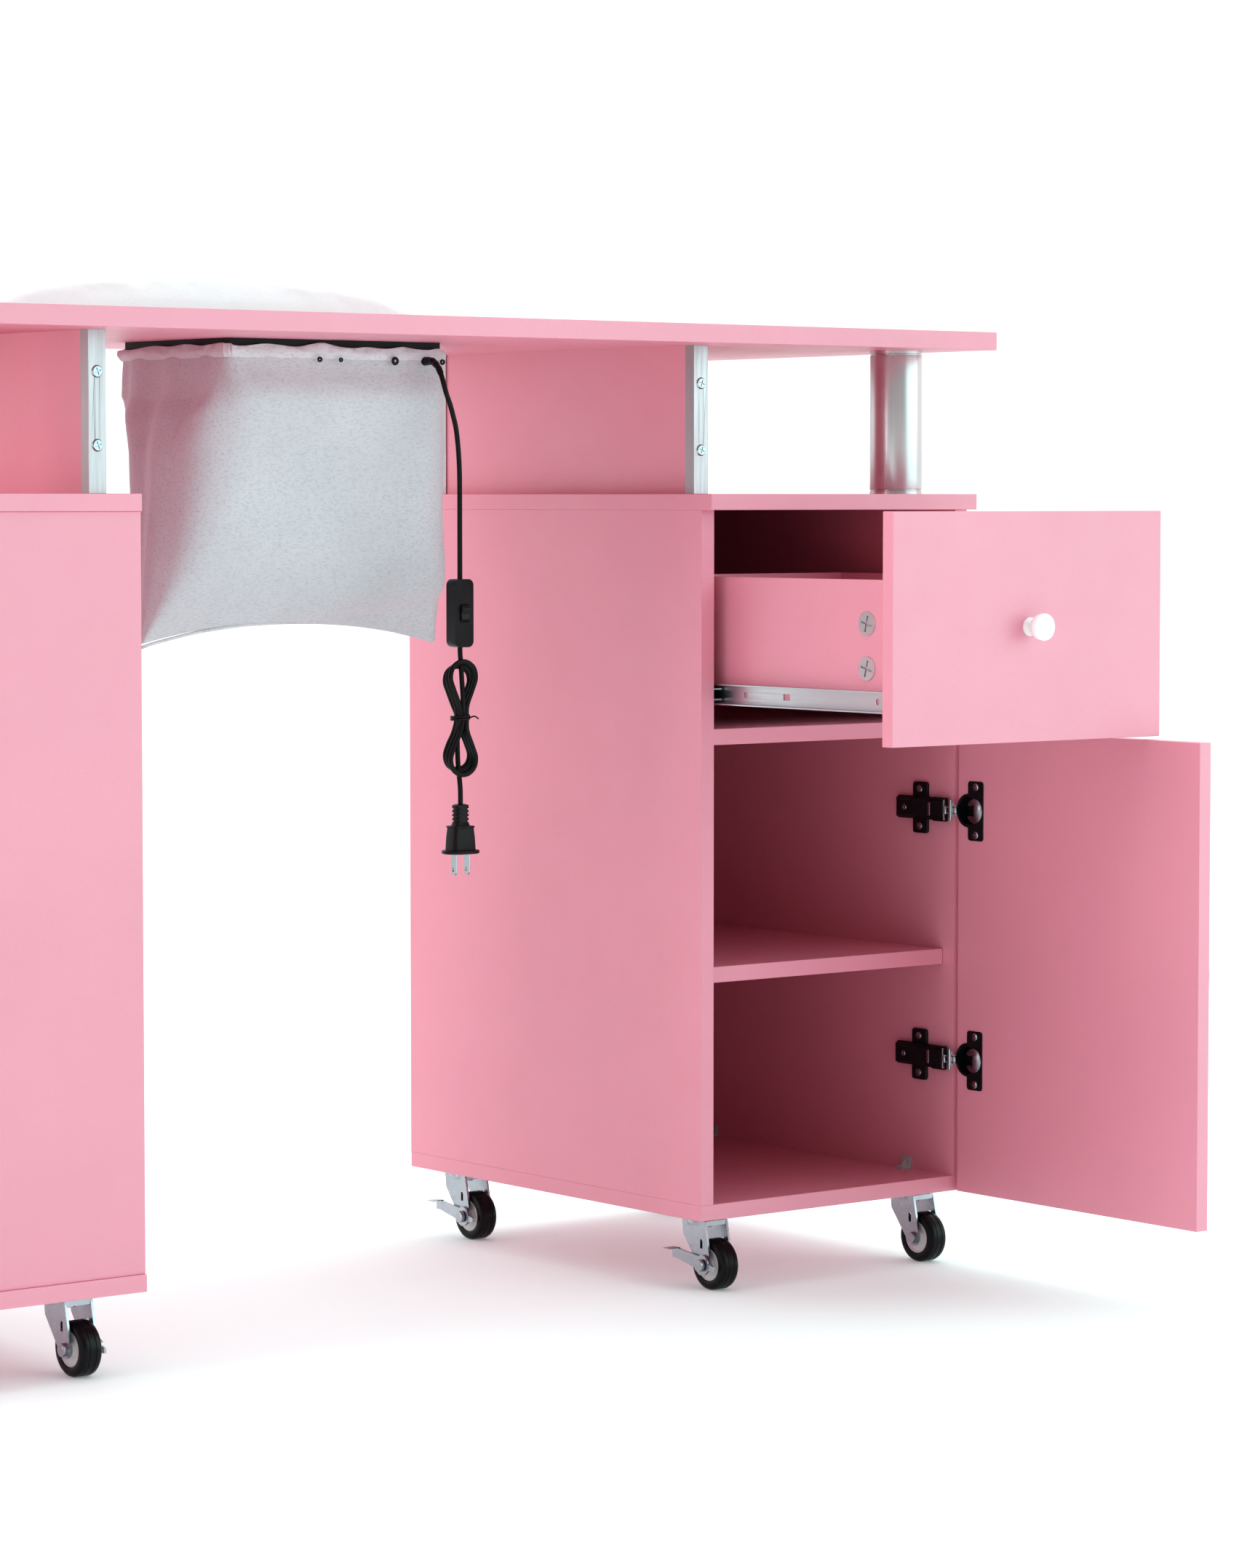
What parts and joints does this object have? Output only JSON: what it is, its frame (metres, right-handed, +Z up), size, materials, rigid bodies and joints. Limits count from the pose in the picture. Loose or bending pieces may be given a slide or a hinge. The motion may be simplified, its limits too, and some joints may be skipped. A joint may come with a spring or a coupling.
{
  "type": "manicure table",
  "caption": "Manicure table: a laminate desktop on two wheeled cabinets, with a downdraft dust collector, a drawer, a hinged door and a wrist cushion.",
  "frame": {"origin": "on the floor, below the middle of the desktop", "axes": "+X along the desktop towards the cabinet with the drawer and door, +Y from the operator to the client, +Z up"},
  "size_m": [1.137, 0.69, 0.8303],
  "materials": {
    "pink_laminate": "satin melamine",
    "grille_steel": "brushed",
    "black_moulding": "fine texture",
    "fan_blades": "moulded",
    "bag_cloth": "plain woven",
    "channel_aluminium": "satin anodised",
    "screw_steel": "bright",
    "chrome": "polished",
    "bracket_plastic": "translucent",
    "slide_steel": "zinc plated",
    "white_board": "smooth",
    "knob_white": "glossy",
    "hinge_black": "black",
    "cord_black": "matt sheath",
    "switch_black": "fine texture",
    "plug_black": "moulded",
    "cushion_leather": "soft white leatherette",
    "caster_zinc": "galvanised",
    "caster_rubber": "rubber tyre"
  },
  "bodies": {
    "table": {"desktop": "pink_laminate", "vent_grille": "grille_steel", "fan_housing": "black_moulding", "dust_bag": "bag_cloth", "riser_panels": "pink_laminate", "riser_channels": "channel_aluminium", "channel_screws": "screw_steel", "support_posts": "chrome", "cabinet_tops": "pink_laminate", "cabinet_bottoms": "pink_laminate", "right_side_panels": "pink_laminate", "right_back_panel": "pink_laminate", "right_divider": "pink_laminate", "right_shelf": "pink_laminate", "left_upright_panels": "pink_laminate", "left_shelves": "pink_laminate", "shelf_pins": "screw_steel", "corner_brackets": "bracket_plastic", "slide_runners": "slide_steel", "hinge_arms": "hinge_black", "cord_gland": "switch_black", "cord_drop": "cord_black", "switch_body": "switch_black", "cord_hank": "cord_black", "cord_tail": "cord_black", "plug": "plug_black", "caster_plates": "caster_zinc"},
    "drawer": {"drawer_channels": "slide_steel", "drawer_front": "pink_laminate", "drawer_box": "pink_laminate", "drawer_bottom": "white_board", "drawer_cams": "chrome", "drawer_knob": "knob_white"},
    "ball_cages": {"slide_ball_cages": "slide_steel"},
    "door": {"door_panel": "pink_laminate", "door_knob": "knob_white", "hinge_cups": "hinge_black"},
    "fan": {"fan_rotor": "fan_blades"},
    "rocker": {"switch_rocker": "switch_black"},
    "cushion": {"wrist_cushion": "cushion_leather"},
    "caster_rf_knee": {"fork_rf_knee": "caster_zinc"},
    "roller_rf_knee": {"wheel_rf_knee": "caster_rubber"},
    "lever_rf": {"brake_rf": "caster_zinc"},
    "caster_rf_end": {"fork_rf_end": "caster_zinc"},
    "roller_rf_end": {"wheel_rf_end": "caster_rubber"},
    "caster_rb_knee": {"fork_rb_knee": "caster_zinc"},
    "roller_rb_knee": {"wheel_rb_knee": "caster_rubber"},
    "lever_rb": {"brake_rb": "caster_zinc"},
    "caster_rb_end": {"fork_rb_end": "caster_zinc"},
    "roller_rb_end": {"wheel_rb_end": "caster_rubber"},
    "caster_lf_knee": {"fork_lf_knee": "caster_zinc"},
    "roller_lf_knee": {"wheel_lf_knee": "caster_rubber"},
    "lever_lf": {"brake_lf": "caster_zinc"},
    "caster_lf_end": {"fork_lf_end": "caster_zinc"},
    "roller_lf_end": {"wheel_lf_end": "caster_rubber"},
    "caster_lb_knee": {"fork_lb_knee": "caster_zinc"},
    "roller_lb_knee": {"wheel_lb_knee": "caster_rubber"},
    "lever_lb": {"brake_lb": "caster_zinc"},
    "caster_lb_end": {"fork_lb_end": "caster_zinc"},
    "roller_lb_end": {"wheel_lb_end": "caster_rubber"}
  },
  "joints": [
    {"name": "drawer_slide", "type": "slide", "parent": "table", "child": "drawer", "axis": [0, -1, 0], "range_m": [-0.218, 0.027]},
    {"name": "ball_cage_roll", "type": "slide", "parent": "table", "child": "ball_cages", "axis": [0, -1, 0], "range_m": [-0.109, 0.0135]},
    {"name": "door_hinge", "type": "hinge", "parent": "table", "child": "door", "pos_m": [0.5475, -0.196, 0.2595], "axis": [0, 0, 1], "range_deg": [-90, 5]},
    {"name": "fan_spin", "type": "hinge", "parent": "table", "child": "fan", "pos_m": [-0.012, 0, 0.75], "axis": [0, 0, 1], "continuous": true},
    {"name": "switch_rock", "type": "hinge", "parent": "table", "child": "rocker", "pos_m": [0.086, -0.1065, 0.5575], "axis": [1, 0, 0], "range_deg": [-14, 0]},
    {"name": "cushion_lift", "type": "slide", "parent": "table", "child": "cushion", "axis": [0, 0, 1], "range_m": [0, 0.12]},
    {"name": "swivel_rf_knee", "type": "hinge", "parent": "table", "child": "caster_rf_knee", "pos_m": [0.305, -0.144, 0.055], "axis": [0, 0, 1], "continuous": true},
    {"name": "roll_rf_knee", "type": "hinge", "parent": "caster_rf_knee", "child": "roller_rf_knee", "pos_m": [0.305, -0.158, 0.021], "axis": [1, 0, 0], "continuous": true},
    {"name": "brake_rf", "type": "hinge", "parent": "caster_rf_knee", "child": "lever_rf", "pos_m": [0.2915, -0.158, 0.021], "axis": [1, 0, 0], "range_deg": [-14, 0]},
    {"name": "swivel_rf_end", "type": "hinge", "parent": "table", "child": "caster_rf_end", "pos_m": [0.534, -0.144, 0.055], "axis": [0, 0, 1], "continuous": true},
    {"name": "roll_rf_end", "type": "hinge", "parent": "caster_rf_end", "child": "roller_rf_end", "pos_m": [0.534, -0.158, 0.021], "axis": [1, 0, 0], "continuous": true},
    {"name": "swivel_rb_knee", "type": "hinge", "parent": "table", "child": "caster_rb_knee", "pos_m": [0.305, 0.187, 0.055], "axis": [0, 0, 1], "continuous": true},
    {"name": "roll_rb_knee", "type": "hinge", "parent": "caster_rb_knee", "child": "roller_rb_knee", "pos_m": [0.305, 0.173, 0.021], "axis": [1, 0, 0], "continuous": true},
    {"name": "brake_rb", "type": "hinge", "parent": "caster_rb_knee", "child": "lever_rb", "pos_m": [0.2915, 0.173, 0.021], "axis": [1, 0, 0], "range_deg": [-14, 0]},
    {"name": "swivel_rb_end", "type": "hinge", "parent": "table", "child": "caster_rb_end", "pos_m": [0.534, 0.187, 0.055], "axis": [0, 0, 1], "continuous": true},
    {"name": "roll_rb_end", "type": "hinge", "parent": "caster_rb_end", "child": "roller_rb_end", "pos_m": [0.534, 0.173, 0.021], "axis": [1, 0, 0], "continuous": true},
    {"name": "swivel_lf_knee", "type": "hinge", "parent": "table", "child": "caster_lf_knee", "pos_m": [-0.305, -0.144, 0.055], "axis": [0, 0, 1], "continuous": true},
    {"name": "roll_lf_knee", "type": "hinge", "parent": "caster_lf_knee", "child": "roller_lf_knee", "pos_m": [-0.305, -0.158, 0.021], "axis": [1, 0, 0], "continuous": true},
    {"name": "brake_lf", "type": "hinge", "parent": "caster_lf_knee", "child": "lever_lf", "pos_m": [-0.2915, -0.158, 0.021], "axis": [1, 0, 0], "range_deg": [-14, 0]},
    {"name": "swivel_lf_end", "type": "hinge", "parent": "table", "child": "caster_lf_end", "pos_m": [-0.534, -0.144, 0.055], "axis": [0, 0, 1], "continuous": true},
    {"name": "roll_lf_end", "type": "hinge", "parent": "caster_lf_end", "child": "roller_lf_end", "pos_m": [-0.534, -0.158, 0.021], "axis": [1, 0, 0], "continuous": true},
    {"name": "swivel_lb_knee", "type": "hinge", "parent": "table", "child": "caster_lb_knee", "pos_m": [-0.305, 0.187, 0.055], "axis": [0, 0, 1], "continuous": true},
    {"name": "roll_lb_knee", "type": "hinge", "parent": "caster_lb_knee", "child": "roller_lb_knee", "pos_m": [-0.305, 0.173, 0.021], "axis": [1, 0, 0], "continuous": true},
    {"name": "brake_lb", "type": "hinge", "parent": "caster_lb_knee", "child": "lever_lb", "pos_m": [-0.2915, 0.173, 0.021], "axis": [1, 0, 0], "range_deg": [-14, 0]},
    {"name": "swivel_lb_end", "type": "hinge", "parent": "table", "child": "caster_lb_end", "pos_m": [-0.534, 0.187, 0.055], "axis": [0, 0, 1], "continuous": true},
    {"name": "roll_lb_end", "type": "hinge", "parent": "caster_lb_end", "child": "roller_lb_end", "pos_m": [-0.534, 0.173, 0.021], "axis": [1, 0, 0], "continuous": true}
  ],
  "couplings": [
    {"joint": "ball_cage_roll", "follows": "drawer_slide", "ratio": 0.5}
  ]
}
